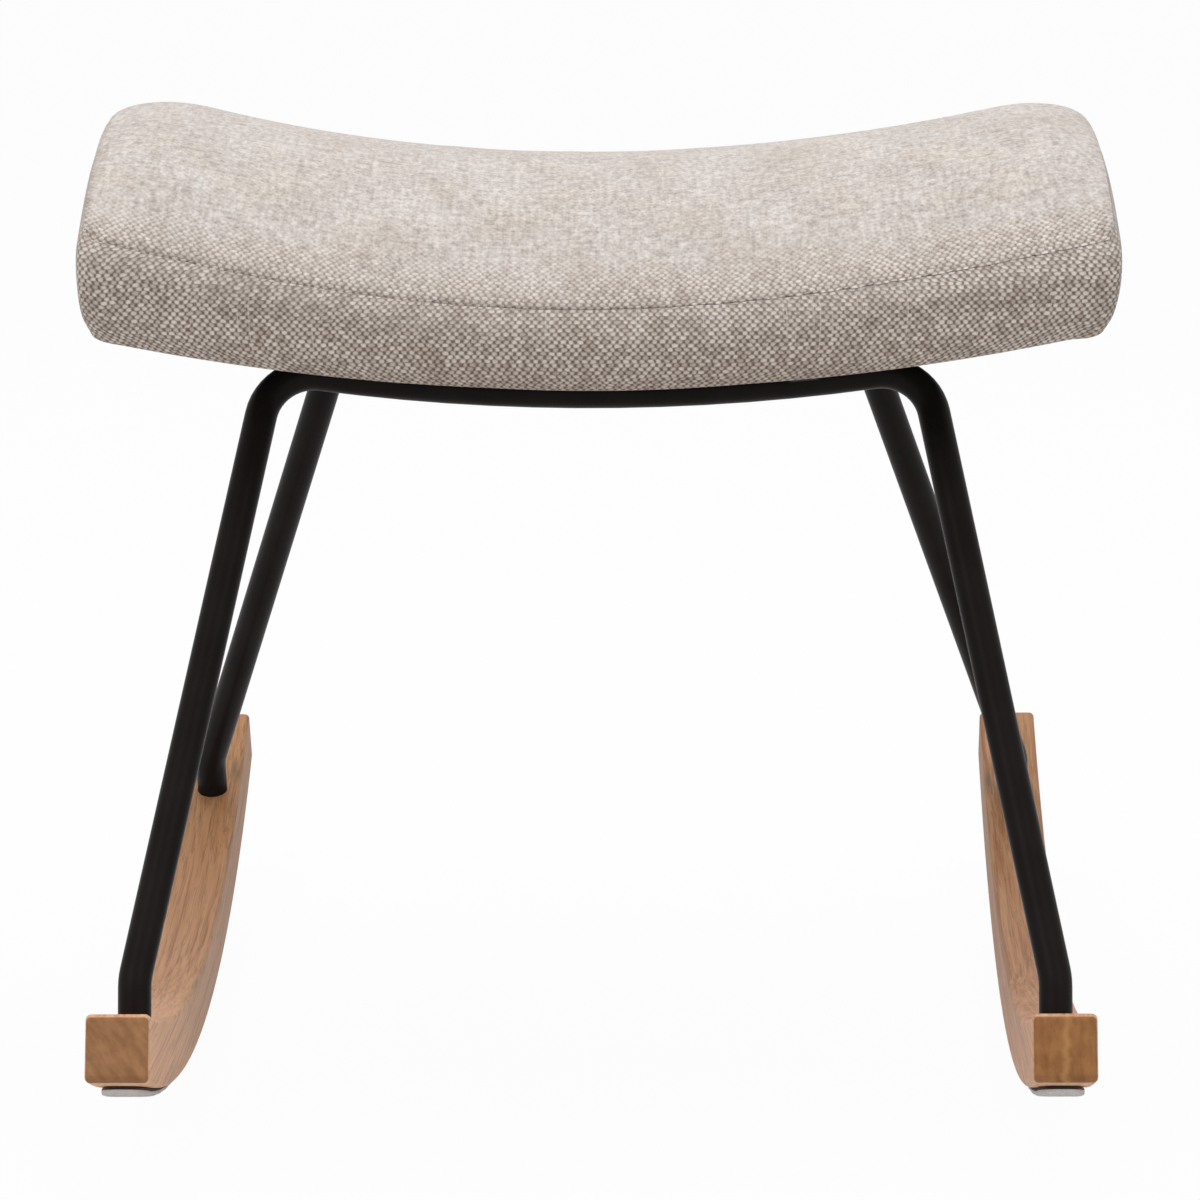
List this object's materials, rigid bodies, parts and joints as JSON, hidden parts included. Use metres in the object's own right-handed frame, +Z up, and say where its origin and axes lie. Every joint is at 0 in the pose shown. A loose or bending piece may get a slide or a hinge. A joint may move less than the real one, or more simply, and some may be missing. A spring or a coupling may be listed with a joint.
{
  "type": "rocking footstool",
  "caption": "Upholstered footstool with a saddle-shaped woven seat on bent steel tube legs that stand on curved oak rockers.",
  "frame": {"origin": "on the floor under the middle of the stool, where the rockers rest", "axes": "+Z up, +Y towards the back along the rockers, +X towards the right end of the seat seen from the front"},
  "size_m": [0.501, 0.5538, 0.4596],
  "materials": {
    "oak": "oiled oak",
    "felt": "pressed felt",
    "powder_coat": "satin powder coat",
    "black_plastic": "moulded",
    "zinc_steel": "zinc plated",
    "plywood": "raw plywood",
    "foam": "open-cell foam",
    "wadding": "fibre wadding",
    "upholstery": "chunky weave",
    "dust_cloth": "non-woven cloth"
  },
  "bodies": {
    "root": {"rocker_left": "oak", "rocker_right": "oak", "felt_strip_left": "felt", "felt_strip_right": "felt", "front_frame_tube": "powder_coat", "rear_frame_tube": "powder_coat", "seat_rail_left": "powder_coat", "seat_rail_right": "powder_coat", "rail_plugs": "black_plastic", "tube_inserts": "zinc_steel", "rocker_bolts": "zinc_steel", "rocker_washers": "zinc_steel", "seat_bolts": "zinc_steel", "seat_washers": "zinc_steel", "tee_nuts": "zinc_steel", "staples": "zinc_steel", "seat_board": "plywood", "foam_pad": "foam", "wadding": "wadding", "cover_top": "upholstery", "cover_front_band": "upholstery", "cover_back_band": "upholstery", "cover_end_left": "upholstery", "cover_end_right": "upholstery", "dust_cover": "dust_cloth"}
  },
  "joints": []
}
